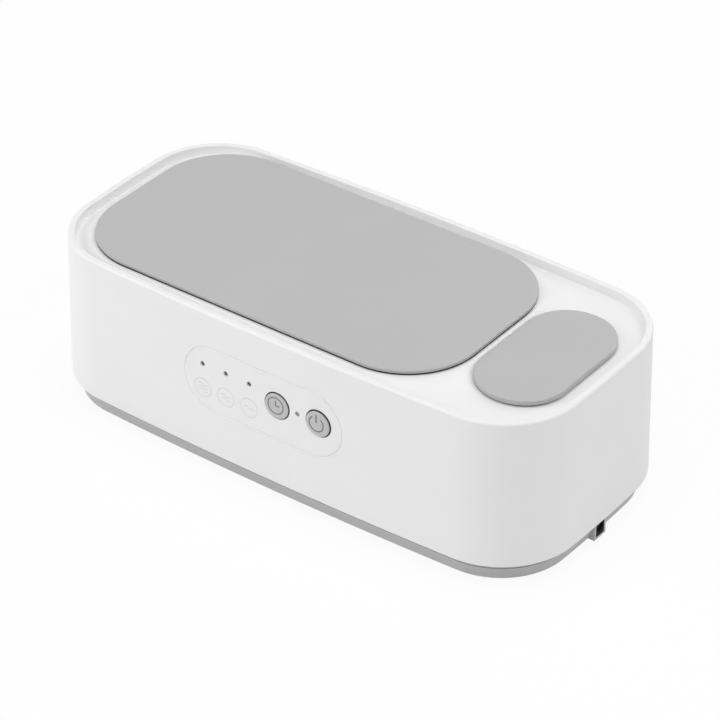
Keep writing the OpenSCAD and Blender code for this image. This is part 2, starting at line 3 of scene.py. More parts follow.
import bmesh
import bpy
import numpy as np
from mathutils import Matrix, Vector
from mathutils.geometry import delaunay_2d_cdt


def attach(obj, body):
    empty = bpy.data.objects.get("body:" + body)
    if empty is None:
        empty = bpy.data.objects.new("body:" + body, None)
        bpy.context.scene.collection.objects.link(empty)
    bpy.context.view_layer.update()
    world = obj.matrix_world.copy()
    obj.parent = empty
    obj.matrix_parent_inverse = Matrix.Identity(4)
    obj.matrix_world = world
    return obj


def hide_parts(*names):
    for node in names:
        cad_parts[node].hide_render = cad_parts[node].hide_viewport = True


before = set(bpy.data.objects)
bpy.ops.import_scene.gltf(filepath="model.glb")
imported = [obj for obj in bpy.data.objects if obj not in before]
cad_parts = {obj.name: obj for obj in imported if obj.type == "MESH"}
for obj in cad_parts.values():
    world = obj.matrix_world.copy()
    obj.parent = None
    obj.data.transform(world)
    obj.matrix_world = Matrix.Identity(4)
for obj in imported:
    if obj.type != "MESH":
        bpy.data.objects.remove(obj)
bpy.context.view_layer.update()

# Sizes in millimetres: X along the length, buttons at -Y, Z up
MM = 0.001
CASING_L, CASING_W, CASING_H = 210.2, 100.3, 56.9
CORNER_R, SIDE_R, END_R = 30.0, 1745.0, 627.0
DRAFT, WALL, DECK_T = 1.1, 2.2, 2.4
RIM_DEPTH, RIM_W, RIM_LEAN = 3.3, 2.55, 0.2
RIM_EDGE, RIM_INNER_EDGE, DECK_CORNER, LOWER_EDGE = 0.9, 0.3, 0.1, 0.4
BASE_Z, BASE_H, BASE_FLOOR, BASE_WALL = 1.3, 7.5, 2.0, 2.0
BASE_REVEAL, BASE_TAPER, BASE_EDGE = 1.7, 0.25, 1.3
GROOVE_H, GROOVE_IN = 2.2, 0.8
LIP_OUT, LIP_IN, LIP_H, LIP_ROOT = 2.35, 3.75, 2.5, 1.0
PART_Z = BASE_Z + BASE_H
RIM_Z = PART_Z + CASING_H
DECK_Z = RIM_Z - RIM_DEPTH
DECK_UNDER = DECK_Z - DECK_T
FLANGE_Z = DECK_UNDER - 1.0
SHEET_T = 0.8
FLOOR_Z = BASE_Z + BASE_FLOOR

# Lids: plate, seal and skirt, as insets from the plate's outline
LID_L, LID_W, LID_R, LID_X = 155.5, 84.0, 27.5, -17.25
CAP_L, CAP_W, CAP_X = 32.7, 58.8, 79.2
CAP_R = (CAP_L - 0.7) / 2
LID_T, CAP_T, LID_EDGE, UNDER_EDGE = 1.25, 1.8, 0.4, 0.25
SKIRT_T, SKIRT_DROP, SKIRT_EDGE, SKIRT_FILLET, LID_SLIP = 1.5, 4.0, 0.3, 0.4, 0.6
LID_TOP = RIM_Z + 0.5
CAP_TOP = DECK_Z + 0.7 + CAP_T
COLLAR_OUT, COLLAR_Z, MOUTH_EDGE = 0.8, DECK_Z + 1.9, 0.5
# The seals' lips reach out towards the plates' edges as painted shade of the gap under them
LID_OVERHANG, SEAL_W, SEAL_SHADE_REACH = 2.1, 2.4, 1.95
CAP_OVERHANG, CAP_SEAL_W, CAP_SEAL_SHADE_REACH = 1.0, 2.2, 0.3
SEAL_EDGE = 0.15
TANK_IN = LID_OVERHANG + SEAL_W + 1.4
WELL_IN = CAP_OVERHANG + CAP_SEAL_W + 1.2
TANK_DEPTH, WELL_DEPTH = FLANGE_Z - 18.7, 22.0
DRAWN_EDGE, DRAWN_MOUTH = 5.0, 1.0
FLANGE_W, WELL_FLANGE_W = 3.5, 2.8

# Button panel on the front wall
PANEL_X, PANEL_MID = -1.8, RIM_Z - 25.9
PANEL_L, PANEL_H, PANEL_T = 67.2, 25.1, 1.2
WINDOW_LOW, WINDOW_HIGH, WINDOW_HALF = 16.5, 16.0, 38.5
SEAM, SEAM_EDGE, SEAM_SINK, SEAM_BEAD = 0.05, 0.8, 0.25, 0.2
HOLE_EDGE, HOLE_BAND = 0.12, 0.27
BUTTON_D, BUTTON_PROUD, BUTTON_GAP, BUTTON_EDGE = 9.7, 0.5, 0.4, 0.4
BUTTON_FLANGE, BUTTON_STEM_R = 1.1, 1.7
LIGHT_D, LIGHT_GAP, LIGHT_SINK, LIGHT_DOME, LIGHT_FLANGE = 1.8, 0.05, 0.6, 0.2, 0.5
TIMER = (PANEL_X + 6.65, PANEL_MID + 0.95)
POWER = (PANEL_X + 23.9, PANEL_MID + 0.95)
MODE_X, MODE_STEP, MODE_R = PANEL_X - 25.6, 10.1, 3.62
MODE_Z = PANEL_MID - 4.9
LIGHTS = [(MODE_X + MODE_STEP * i, PANEL_MID + 4.7) for i in range(3)] + [(PANEL_X + 15.1, PANEL_MID + 1.1)]
FRONT_Y = -(CASING_W / 2 - DRAFT * (PANEL_MID - PART_Z) / CASING_H)
INSIDE_Y = FRONT_Y + WALL
BUTTON_FACE = FRONT_Y - BUTTON_PROUD
# Past this depth the cap's side is painted near-black, as shade in the gap round the cap
BUTTON_SHADE_FROM = BUTTON_FACE + 0.45
SEAT_Y = INSIDE_Y + 0.6
PLUNGER_Y = INSIDE_Y + 2.1
BOARD_Y = PLUNGER_Y + 0.8 + 3.5

# Inlet boss at the +X end of the base
INLET_X, INLET_Y, INLET_LEN = CASING_L / 2 - 1.15, -0.9, 12.0
INLET_W, INLET_WALL, INLET_SOFT, INLET_LIP = 4.9, 1.05, 0.25, 0.15
INLET_Z0, INLET_Z1 = BASE_Z + 0.95, PART_Z - 0.8

# Posts, bosses and feet: radius, hole, and how far they run into what carries them
POST_R, POST_HOLE, POST_HOLE_DEPTH = 3.2, 1.3, 10.0
BOSS_R, BOSS_HOLE, CLAMP_HOLE_DEPTH, PANEL_HOLE_DEPTH = 2.5, 1.1, 1.6, 5.0
DECK_ROOT, WALL_ROOT = 0.4, 0.5
BOARD_POST_R, BOARD_POST_H = 3.0, 4.0
WELL_R, WELL_HOLE, WELL_TOWER, WELL_SHOULDER = 3.1, 1.6, 3.9, 3.0
RECESS_R, RECESS_DEPTH = 6.0, 1.0
FOOT_FLAT, FOOT_EDGE, FOOT_NECK, FOOT_R, FOOT_SUNK = 4.2, 0.7, 5.4, 5.95, 0.98
POSTS = [(sx * (CASING_L / 2 - 17), sy * (CASING_W / 2 - 15)) for sx in (-1, 1) for sy in (-1, 1)]
CLAMP_BOSSES = [(LID_X + i * (LID_L - 2 * TANK_IN) / 3, s * (LID_W / 2 - TANK_IN + FLANGE_W + 3.2))
                for i in (-1, 0, 1) for s in (-1, 1)]
CLAMP_BOSSES += [(CAP_X, s * (CAP_W / 2 - WELL_IN + WELL_FLANGE_W + 3.2)) for s in (-1, 1)]
PANEL_BOSSES = [PANEL_X - 36.1, PANEL_X + 36.1]
BOARD_POSTS = [(x, y) for x in (18, 80) for y in (24, -24)]
FEET = [(sx * (CASING_L / 2 - 31), sy * (CASING_W / 2 - 20)) for sx in (-1, 1) for sy in (-1, 1)]


class Plan:
    """A closed line as circle centres, radii and outward normals: moved in by o it is
    centre + (radius - o) * normal."""

    def __init__(self, centre, radius, normal):
        self.centre = np.asarray(centre, float)
        self.radius = np.asarray(radius, float)
        self.normal = np.asarray(normal, float)

    def at(self, o):
        """The line moved in by one inset, by one for each point, or once for each row of insets."""
        return self.centre + (self.radius - o)[..., None] * self.normal

    def moved(self, by):
        return Plan(self.centre + np.asarray(by, float), self.radius, self.normal)


def chain(arcs):
    """Plan of arcs (first centre, last centre, radius, first angle, last angle, steps): angle and centre
    change evenly, so equal angles make a straight run. Each arc leaves out its last point."""
    centre, radius, angle = [], [], []
    for c0, c1, r, a0, a1, n in arcs:
        t = np.arange(n)[:, None] / n
        centre.append(np.asarray(c0) * (1 - t) + np.asarray(c1) * t)
        radius.append(np.full(n, float(r)))
        angle.append(np.radians(a0 + (a1 - a0) * t[:, 0]))
    a = np.concatenate(angle)
    return Plan(np.concatenate(centre), np.concatenate(radius), np.stack([np.cos(a), np.sin(a)], axis=1))


def bowed_plan(n_end=14, n_corner=40, n_side=130):
    """The casing's outline: a long arc on each side, one on each end, and corner arcs tangent to both. A
    corner's centre is where circles of side radius - corner radius and end radius - corner radius about the
    long arcs' centres meet."""
    side, end = np.array([0, CASING_W / 2 - SIDE_R]), np.array([CASING_L / 2 - END_R, 0])
    span = np.linalg.norm(end - side)
    u = (end - side) / span
    rs, re = SIDE_R - CORNER_R, END_R - CORNER_R
    a = (rs * rs - re * re + span * span) / (2 * span)
    c = side + a * u + math.sqrt(rs * rs - a * a) * np.array([u[1], -u[0]])
    ea = math.degrees(math.atan2(*(c - end)[::-1]))
    sa = math.degrees(math.atan2(*(c - side)[::-1]))
    x, y = np.array([-1, 1]), np.array([1, -1])
    return chain([
        (end, end, END_R, -ea, ea, n_end), (c, c, CORNER_R, ea, sa, n_corner),
        (side, side, SIDE_R, sa, 180 - sa, n_side), (c * x, c * x, CORNER_R, 180 - sa, 180 - ea, n_corner),
        (end * x, end * x, END_R, 180 - ea, 180 + ea, n_end),
        (-c, -c, CORNER_R, 180 + ea, 180 + sa, n_corner),
        (-side, -side, SIDE_R, 180 + sa, 360 - sa, n_side),
        (c * y, c * y, CORNER_R, 360 - sa, 360 - ea, n_corner)])


def rounded_plan(length, width, r, n_corner=32, n_x=24, n_y=14):
    """Rounded rectangle: four corner arcs of radius r joined by straight runs."""
    x, y = length / 2 - r, width / 2 - r
    c = [(x, y), (-x, y), (-x, -y), (x, -y)]
    arcs = []
    for q in range(4):
        arcs.append((c[q], c[q], r, 90 * q, 90 * q + 90, n_corner))
        arcs.append((c[q], c[(q + 1) % 4], r, 90 * q + 90, 90 * q + 90, n_x if q % 2 == 0 else n_y))
    return chain(arcs)


def circle_plan(x, y, r, n=48):
    """A circle as one arc."""
    return chain([((x, y), (x, y), r, 0, 360, n)])


def stadium_plan(n_end=96, n_run=64):
    """The panel's outline seen square on: two half circles joined by straight runs."""
    r = PANEL_H / 2
    right, left = (PANEL_L / 2 - r, 0), (r - PANEL_L / 2, 0)
    line = chain([(right, right, r, -90, 90, n_end), (right, left, r, 90, 90, n_run),
                  (left, left, r, 90, 270, n_end), (left, right, r, 270, 270, n_run)])
    return line.moved((PANEL_X, PANEL_MID))


def nearest_stadium(xz):
    """The panel's outline with each point the nearest one to a point of the given line: the middle run's
    nearest point plus the end radius along the way out."""
    r = PANEL_H / 2
    half = PANEL_L / 2 - r
    q = xz - np.array([PANEL_X, PANEL_MID])
    on_run = np.stack([np.clip(q[:, 0], -half, half), np.zeros(len(q))], axis=1)
    way = q - on_run
    normal = way / np.linalg.norm(way, axis=1)[:, None]
    return Plan(on_run + np.array([PANEL_X, PANEL_MID]), np.full(len(q), r), normal)


def bend(c_o, c_z, r, a0, a1, n=5):
    """Rows of a rounded edge: centre + r * (cos a, sin a), a from a0 to a1 degrees."""
    a = np.radians(np.linspace(a0, a1, n + 1))
    return np.stack([c_o + r * np.cos(a), c_z + r * np.sin(a)], axis=1)


def rows(*parts):
    """Profile rows joined into one array of (inset, height)."""
    return np.vstack([np.atleast_2d(np.asarray(p, float)) for p in parts])


def lean(z):
    """How far the casing wall leans in at height z: draft times the share of the height."""
    return DRAFT * (z - PART_Z) / CASING_H


def upright(xy, z):
    """Plan points at height z."""
    height = np.broadcast_to(np.asarray(z, float)[..., None], xy.shape[:-1] + (1,))
    return np.concatenate([xy, height], axis=-1)


def sweep(plan, profile):
    """A profile of (inset, height) carried round a plan: row i is the plan moved in by inset i, at
    height i."""
    o, z = profile.T[..., None]
    xy = plan.at(o)
    return upright(xy, np.broadcast_to(z, xy.shape[:2]))


def on_front(xz, depth):
    """Points of the front wall seen square on, at a depth below its skin: y is the bow's centre minus the
    root of (side radius - depth - lean) squared less x squared."""
    x, z = xz[..., 0], xz[..., 1]
    y = SIDE_R - CASING_W / 2 - np.sqrt((SIDE_R - depth - lean(z)) ** 2 - x ** 2)
    return np.stack([x, y, z], axis=-1)


def carry(plan, o, depth):
    """Rows of insets and depths carried round a line on the front wall."""
    return on_front(plan.at(o), depth)


def inside(p, loops):
    """Even-odd test: a point is inside when a ray along +X crosses the closed lines an odd number of
    times."""
    odd = np.zeros(len(p), int)
    for loop in loops:
        a, b = loop, np.roll(loop, -1, axis=0)
        rise = np.where(b[:, 1] == a[:, 1], 1.0, b[:, 1] - a[:, 1])
        hit = (a[:, 1] > p[:, 1:2]) != (b[:, 1] > p[:, 1:2])
        at = a[:, 0] + (b[:, 0] - a[:, 0]) * (p[:, 1:2] - a[:, 1]) / rise
        odd += np.sum(hit & (p[:, 0:1] < at), axis=1)
    return odd % 2 == 1


def reach(p, line):
    """Least distance from points to a closed line: each straight piece is met at the share of its length,
    kept between 0 and 1, that is nearest to the point."""
    way = np.roll(line, -1, axis=0) - line
    off = p[:, None] - line
    share = np.clip((off * way).sum(axis=-1) / (way ** 2).sum(axis=-1), 0, 1)
    return np.linalg.norm(off - share[..., None] * way, axis=-1).min(axis=1)


def clear(p, loops, gap):
    """The points that lie inside the loops and at least a gap from their edges."""
    p = p[inside(p, loops)]
    return p[np.min([reach(p, line) for line in loops], axis=0) > gap]


def spread(loops, step):
    """Points of a triangular grid inside the loops, kept clear of their edges."""
    lo, hi = loops[0].min(axis=0), loops[0].max(axis=0)
    i, j = np.meshgrid(np.arange(lo[0], hi[0], step), np.arange(lo[1], hi[1], step * 0.866))
    shift = np.where(np.arange(i.shape[0]) % 2, step / 2, 0)[:, None]
    return clear(np.stack([(i + shift).ravel(), j.ravel()], axis=1), loops, 0.7 * step)


class Shape:
    """Sheets and faces gathered into one welded mesh."""

    def __init__(self):
        self.points, self.faces, self.count = [], [], 0

    def add(self, points, faces):
        """Points with faces that count from the first of them."""
        points = np.asarray(points, float).reshape(-1, 3)
        self.points.append(points)
        self.faces += (np.asarray(faces, int) + self.count).tolist()
        self.count += len(points)

    def sheet(self, p, keep=None, ring=True):
        """Grid of points as four-sided faces; ring joins the last column to the first."""
        m, n = p.shape[:2]
        i = np.arange(m * n).reshape(m, n)
        if ring:
            i = np.concatenate([i, i[:, :1]], axis=1)
        quads = np.stack([i[:-1, :-1], i[:-1, 1:], i[1:, 1:], i[1:, :-1]], axis=-1)
        self.add(p, quads.reshape(-1, 4) if keep is None else quads[keep])

    def face(self, ring):
        """One flat face on a ring of points."""
        self.add(ring, np.arange(len(ring))[None])

    def fill(self, loops, lift, step=0.0, more=None):
        """Region between an outer loop and its holes as triangles; lift gives the points their third
        coordinate. Points inside come from a grid of that step, or from a given list."""
        loops = [np.asarray(line, float) for line in loops]
        within = [spread(loops, step)] if step else [] if more is None else [clear(more, loops, 0.2)]
        flat = np.concatenate(loops + within)
        edges, start = [], 0
        for line in loops:
            i = start + np.arange(len(line))
            edges += np.stack([i, np.roll(i, -1)], axis=1).tolist()
            start += len(line)
        out = delaunay_2d_cdt([Vector(p) for p in flat.tolist()], edges, [], 0, 1e-6)
        p, tri = np.array([v[:] for v in out[0]]), np.array(out[2])
        tri = tri[inside(p[tri].mean(axis=1), loops)]
        self.add(lift(p), tri)

    def turn(self, centre, axis, profile, n=48):
        """Solid of revolution: profile rows (radius, distance along the axis) turned about "y" or "z"."""
        r, h = np.asarray(profile, float).T
        a = 2 * np.pi * np.arange(n) / n
        u, v = r[:, None] * np.cos(a), r[:, None] * np.sin(a)
        w = np.broadcast_to(h[:, None], u.shape)
        p = np.stack([u, v, w] if axis == "z" else [u, w, v], axis=-1)
        self.sheet(p + np.asarray(centre, float))

    def boss(self, centre, axis, r, hole, hole_end, tip, root, n=32):
        """Round boss with a blind screw hole: up the hole's wall, across the tip and down the outside."""
        self.turn(centre, axis, [
            (0, hole_end), (hole, hole_end), (hole, tip), (r, tip), (r, root), (0, root)], n)

    def build(self, name, body, finish, replaces=(), sharp=38):
        """Welds the mesh, turns its faces outward, hands the piece to its body and hides the parts it
        replaces.
        """
        mesh = bpy.data.meshes.new(name)
        mesh.from_pydata((np.concatenate(self.points) * MM).tolist(), [], self.faces)
        bm = bmesh.new()
        bm.from_mesh(mesh)
        bmesh.ops.remove_doubles(bm, verts=bm.verts, dist=3e-6)
        bmesh.ops.recalc_face_normals(bm, faces=bm.faces)
        bm.to_mesh(mesh)
        bm.free()
        mesh.shade_smooth()
        mesh.set_sharp_from_angle(angle=math.radians(sharp))
        mesh.materials.append(finish)
        obj = bpy.data.objects.new(name, mesh)
        bpy.context.scene.collection.objects.link(obj)
        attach(obj, body)
        if replaces:
            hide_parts(*replaces)
        return obj


class Value:
    """A shader socket with arithmetic: each operator adds one Math node."""

    def __init__(self, finish, socket):
        self.finish, self.socket = finish, socket

    def math(self, operation, a, b=0.0):
        return self.finish.node("ShaderNodeMath", {"operation": operation}, {0: a, 1: b})

    def __add__(self, other):
        return self.math("ADD", self, other)

    def __sub__(self, other):
        return self.math("SUBTRACT", self, other)

    def __mul__(self, other):
        return self.math("MULTIPLY", self, other)

    def __gt__(self, other):
        return self.math("GREATER_THAN", self, other)

    def __or__(self, other):
        return self.math("MAXIMUM", self, other)

    def __rsub__(self, other):
        return self.math("SUBTRACT", other, self)

    __radd__ = __add__
    __rmul__ = __mul__


class Nodes:
    """A node tree that grows by values."""

    def __init__(self, tree):
        self.tree = tree

    def node(self, kind, settings=None, sockets=None, out=0):
        """Adds a node: its settings are set first, then the values or links of its sockets."""
        n = self.tree.nodes.new(kind)
        for key, value in (settings or {}).items():
            setattr(n, key, value)
        for key, value in (sockets or {}).items():
            self.put(n.inputs[key], value)
        return Value(self, n.outputs[out])

    def put(self, socket, value):
        if isinstance(value, Value):
            self.tree.links.new(value.socket, socket)
        else:
            socket.default_value = value


def rgba(tone):
    """A grey level or a colour as four numbers."""
    return (*np.broadcast_to(tone, 3).tolist(), 1.0)


class Finish(Nodes):
    """A node material on a Principled shader, built from values of its surface."""

    def __init__(self, name):
        self.material = bpy.data.materials.new(name)
        self.material.use_nodes = True
        super().__init__(self.material.node_tree)
        self.shader = self.tree.nodes["Principled BSDF"]

    def place(self, scale=(1, 1, 1)):
        """Object coordinates, stretched."""
        where = self.node("ShaderNodeTexCoord", out="Object")
        return self.node("ShaderNodeMapping", {"vector_type": "POINT"}, {"Vector": where, "Scale": scale})

    def along(self, axis):
        """One object coordinate, in metres."""
        return self.node("ShaderNodeSeparateXYZ", {}, {0: self.place()}, out=axis)

    def noise(self, scale, detail=2.0, rough=0.5, stretch=(1, 1, 1)):
        return self.node("ShaderNodeTexNoise", {}, {
            "Vector": self.place(stretch), "Scale": scale, "Detail": detail, "Roughness": rough})

    def wave(self, direction, scale, distortion, detail=2.0):
        return self.node("ShaderNodeTexWave", {"bands_direction": direction}, {
            "Vector": self.place(), "Scale": scale, "Distortion": distortion, "Detail": detail})

    def between(self, share, a, b):
        """Colour from a to b by share; each is a grey level, a colour or a value."""
        a, b = [c if isinstance(c, Value) else rgba(c) for c in (a, b)]
        return self.node("ShaderNodeMix", {"data_type": "RGBA"}, {
            "Factor": share, "A": a, "B": b}, out="Result")

    def set(self, **sockets):
        for key, value in sockets.items():
            self.put(self.shader.inputs[key.replace("_", " ")], value)
        return self

    def bump(self, height, strength, distance):
        self.set(Normal=self.node("ShaderNodeBump", {}, {
            "Height": height, "Strength": strength, "Distance": distance}))
        return self


def moulded(name, dark, light, rough, grain=0.06, shine=0.5):
    """Moulded plastic: slight drift of tone over centimetres, fine spark-eroded grain in roughness and
    bump."""
    f = Finish(name)
    drift = f.noise(28.0, 3.0)
    pits = f.noise(2600.0, 2.0, 0.6)
    f.set(Base_Color=f.between(drift, dark, light), Roughness=rough + 0.10 * (pits - 0.5), IOR=1.5,
          Specular_IOR_Level=shine)
    return f.bump(pits, grain, 0.00002).material


def brushed(name, dark, light, rough, stretch=(1, 1, 1)):
    """Drawn metal: fine streaks along the surface in tone, roughness and bump."""
    f = Finish(name)
    streak = f.noise(900.0, 3.0, 0.6, stretch)
    cloud = f.noise(40.0, 2.0)
    f.set(Base_Color=f.between(streak, dark, light), Metallic=1.0,
          Roughness=rough + 0.10 * streak + 0.06 * cloud)
    return f.bump(streak, 0.08, 0.00002).material


def matt_rubber(name, dark, light):
    """Rubber: dull, with a powdery drift of tone and fine pits."""
    f = Finish(name)
    pits = f.noise(1800.0, 2.0)
    f.set(Base_Color=f.between(f.noise(120.0), dark, light), Roughness=0.62 + 0.16 * pits)
    return f.bump(pits, 0.15, 0.00003).material


def clear_capped(name, dark, light):
    """Clear-capped plastic: a drifting tone under a coat."""
    f = Finish(name)
    f.set(Base_Color=f.between(f.noise(700.0), dark, light), Roughness=0.16 + 0.06 * f.noise(1500.0),
          Coat_Weight=0.6)
    return f.material


def smoked(name, dark, light, pale_x):
    """Smoked light windows, paler past a place along X."""
    f = Finish(name)
    f.set(Base_Color=f.between(f.along("X") > pale_x, dark, light), Roughness=0.18 + 0.06 * f.noise(1500.0),
          Coat_Weight=0.6)
    return f.material


def shade_sided_cap(name, dark, light, skirt, shade_from_y, rough):
    """Button: a moulded grey face, and past a depth along Y a near-black skirt, which is painted shade of the
    gap round the cap.
    """
    f = Finish(name)
    pits = f.noise(2600.0, 2.0, 0.6)
    face = f.between(f.noise(28.0, 3.0), dark, light)
    f.set(Base_Color=f.between(f.along("Y") > shade_from_y, face, skirt), Roughness=rough + 0.10 * (pits - 0.5),
          IOR=1.5)
    return f.bump(pits, 0.06, 0.00002).material


def mark_ink_and_shade(name, dark, light):
    """Mark of slightly uneven tone: printed or filled ink on the button icons, and on the mode marks a grey
    that is painted shade of their shallow relief.
    """
    f = Finish(name)
    ink = f.noise(1400.0, 2.0)
    f.set(Base_Color=f.between(ink, dark, light), Roughness=0.42 + 0.1 * ink)
    return f.bump(ink, 0.05, 0.00001).material


def circuit(name):
    """Circuit board: solder mask with paler tracks where two wave patterns cross a threshold."""
    f = Finish(name)
    track = (f.wave("X", 95.0, 3.0, 1.0) * f.wave("Y", 120.0, 4.0, 1.0)) > 0.62
    f.set(Base_Color=f.between(track, (0.02, 0.12, 0.06), (0.05, 0.24, 0.12)),
          Roughness=0.32 + 0.12 * f.noise(500.0))
    return f.bump(track, 0.2, 0.00003).material


def wound(name):
    """Winding: enamelled copper turns as fine bands."""
    f = Finish(name)
    turns = f.wave("Y", 320.0, 0.4)
    f.set(Base_Color=f.between(turns, (0.24, 0.09, 0.03), (0.66, 0.32, 0.14)), Metallic=0.85,
          Roughness=0.34 + 0.1 * turns)
    return f.bump(turns, 0.6, 0.0001).material


WHITE = moulded("satin_white", 0.83, 0.86, 0.40)
GREY = moulded("satin_grey", 0.447, 0.477, 0.46)
BASE_GREY = moulded("base_grey", 0.44, 0.48, 0.50)
# Cap grey, with its side painted near-black (0.04) as shade in the gap round the cap
BUTTON_GREY = shade_sided_cap("button_grey", 0.50, 0.54, 0.04, BUTTON_SHADE_FROM * MM, 0.42)
CLAMP = moulded("clamp_plastic", (0.25, 0.25, 0.26), (0.30, 0.30, 0.31), 0.55)
SEAL = matt_rubber("seal_silicone", (0.035, 0.035, 0.037), (0.05, 0.05, 0.053))
PALE_SEAL = matt_rubber("pale_silicone", (0.10, 0.10, 0.102), (0.12, 0.12, 0.122))
FOOT = matt_rubber("foot_rubber", 0.03, 0.05)
STEEL = brushed("tank_steel", (0.55, 0.56, 0.57), (0.66, 0.67, 0.68), 0.20, (0.06, 1, 1))
PLATED = brushed("plated_steel", (0.48, 0.48, 0.50), (0.62, 0.62, 0.63), 0.26)
SINK = brushed("sink_aluminium", (0.62, 0.62, 0.63), (0.72, 0.72, 0.73), 0.34, (1, 1, 0.08))
CONTACT = brushed("dark_contact", (0.014, 0.014, 0.015), (0.022, 0.022, 0.023), 0.34)
CERAMIC = moulded("piezo_ceramic", (0.66, 0.64, 0.58), (0.74, 0.72, 0.66), 0.5, 0.1)
FERRITE = moulded("ferrite", (0.035, 0.035, 0.04), (0.06, 0.06, 0.065), 0.6, 0.2)
BLACK = moulded("black_plastic", 0.006, 0.011, 0.6, 0.06, 0.15)
SLEEVE = matt_rubber("lead_sleeve", (0.10, 0.015, 0.015), (0.16, 0.03, 0.025))
PLUG = moulded("connector_plastic", (0.74, 0.71, 0.62), (0.80, 0.78, 0.70), 0.45)
SMOKED = smoked("smoked_light", (0.06, 0.06, 0.063), (0.30, 0.30, 0.31), (PANEL_X + 10) * MM)
CLEAR = clear_capped("led_cap", (0.72, 0.72, 0.66), (0.82, 0.82, 0.78))
BOARD = circuit("circuit_board")
WINDING = wound("copper_winding")
ICON = mark_ink_and_shade("button_mark", 0.17, 0.21)
# Mode marks: grey painted as the shade of their shallow relief
FAINT_SHADE = mark_ink_and_shade("mode_mark", 0.69, 0.72)

CASING_PLAN = bowed_plan()
LID_PLAN = rounded_plan(LID_L, LID_W, LID_R).moved((LID_X, 0))
CAP_PLAN = rounded_plan(CAP_L, CAP_W, CAP_R, 32, 4, 14).moved((CAP_X, 0))


def upper_casing():
    """White shell: the outline carried up the wall, over the rim and down to the deck, with the panel's
    pocket let into the front wall as rings that pass from a window of the wall's grid to the panel's
    stadium."""
    s = Shape()
    window_z = np.linspace(PANEL_MID - WINDOW_LOW, PANEL_MID + WINDOW_HIGH, 27)
    wall_z = np.concatenate([np.linspace(PART_Z + 1, window_z[0], 8)[:-1], window_z,
                             np.linspace(window_z[-1], RIM_Z - RIM_EDGE - 0.5, 5)[1:]])
    foot = rows((WALL, PART_Z), (1.0, PART_Z), bend(LOWER_EDGE, PART_Z + LOWER_EDGE, LOWER_EDGE, 270, 180))
    rim_in = DRAFT + RIM_W
    rim_foot = rim_in + RIM_LEAN + DECK_CORNER
    deck_in = rim_foot + 0.1
    skin = sweep(CASING_PLAN, rows(
        foot, np.stack([lean(wall_z), wall_z], axis=1),
        bend(DRAFT + RIM_EDGE, RIM_Z - RIM_EDGE, RIM_EDGE, 180, 90, 7),
        bend(rim_in - RIM_INNER_EDGE, RIM_Z - RIM_INNER_EDGE, RIM_INNER_EDGE, 90, 0),
        bend(rim_foot, DECK_Z + DECK_CORNER, DECK_CORNER, 180, 270), (deck_in, DECK_Z)))
    edge = cut_window(s, skin, len(foot) + int(np.argmin(abs(wall_z - window_z[0]))), len(window_z))
    stadium = nearest_stadium(edge)
    t = np.linspace(0, 1, 10)[:, None, None]
    rise = -stadium.normal[:, 1]
    lip = upward(rise)
    s.sheet(on_front(edge * (1 - t) + stadium.at(-lip) * t, 0.0))
    s.sheet(carry(stadium, *seam_lip(rise, -lip, 0 * lip)))
    holes = panel_holes()
    s.fill([stadium.at(0)] + [h.at(0) for h in holes], lambda p: on_front(p, PANEL_T), 3.0)
    for h in holes:
        s.sheet(carry(h, np.zeros((2, 1)), np.array([[PANEL_T], [WALL]])))
    inner_z = np.concatenate([[PART_Z], wall_z[wall_z < DECK_UNDER - 1], [DECK_UNDER]])
    lining = sweep(CASING_PLAN, np.stack([WALL + lean(inner_z), inner_z], axis=1))
    back = cut_window(s, lining, int(np.argmin(abs(inner_z - window_z[0]))), len(window_z))
    s.fill([back] + [h.at(0) for h in holes], lambda p: on_front(p, WALL), 3.0)
    deck(s, deck_in, lining[-1])
    root = DECK_UNDER + DECK_ROOT
    for x, y in POSTS:
        s.boss((x, y, 0), "z", POST_R, POST_HOLE, PART_Z + POST_HOLE_DEPTH, PART_Z, root, 48)
    for x, y in CLAMP_BOSSES:
        s.boss((x, y, 0), "z", BOSS_R, BOSS_HOLE, FLANGE_Z + CLAMP_HOLE_DEPTH, FLANGE_Z - SHEET_T, root)
    for x in PANEL_BOSSES:
        s.boss((x, 0, PANEL_MID), "y", BOSS_R, BOSS_HOLE, BOARD_Y - PANEL_HOLE_DEPTH, BOARD_Y,
               INSIDE_Y - WALL_ROOT, 48)
    return s.build("casing_shell", "housing", WHITE, ["upper_casing"])


def cut_window(s, grid, first, count):
    """Adds a wall's grid without the cells round the panel, and returns the window's edge as a closed line
    seen square on."""
    last = first + count - 1
    x = grid[first, :, 0]
    front = (CASING_PLAN.normal[:, 1] < -0.97) & (abs(x - PANEL_X) < WINDOW_HALF)
    c0, c1 = np.flatnonzero(front)[[0, -1]]
    keep = np.ones((grid.shape[0] - 1, grid.shape[1]), bool)
    keep[first:last, c0:c1] = False
    s.sheet(grid, keep)
    return np.concatenate([grid[first, c0:c1], grid[first:last, c1], grid[last, c1:c0:-1],
                           grid[last:first:-1, c0]])[:, [0, 2]]


def upward(rise):
    """Width of the seam's rounded lip where it rises by that sine: a narrow lip, wider where it faces up."""
    return SEAM_EDGE * (0.2 + 0.8 * np.clip(rise, 0, 1))


def seam_lip(rise, start, end, n=7):
    """Insets and depths of a lip of the seam: a quarter of an ellipse from the skin at inset start down to
    inset end, then straight to the pocket's floor. Where it faces up it stands a little proud, by the sine of
    twice the angle."""
    t = np.radians(np.linspace(0, 90, n + 1))[:, None]
    o = np.concatenate([start + (end - start) * np.sin(t), end[None]])
    bead = SEAM_BEAD * np.clip(rise, 0, 1) * np.sin(2 * t)
    return o, np.concatenate([SEAM_SINK * (1 - np.cos(t)) - bead, np.full((1, len(rise)), PANEL_T)])


def panel_holes():
    """Circles of the button and light holes in the panel."""
    r, rl = BUTTON_D / 2 + BUTTON_GAP, LIGHT_D / 2 + LIGHT_GAP
    return [circle_plan(*p, r, 72) for p in (TIMER, POWER)] + [circle_plan(*p, rl, 28) for p in LIGHTS]


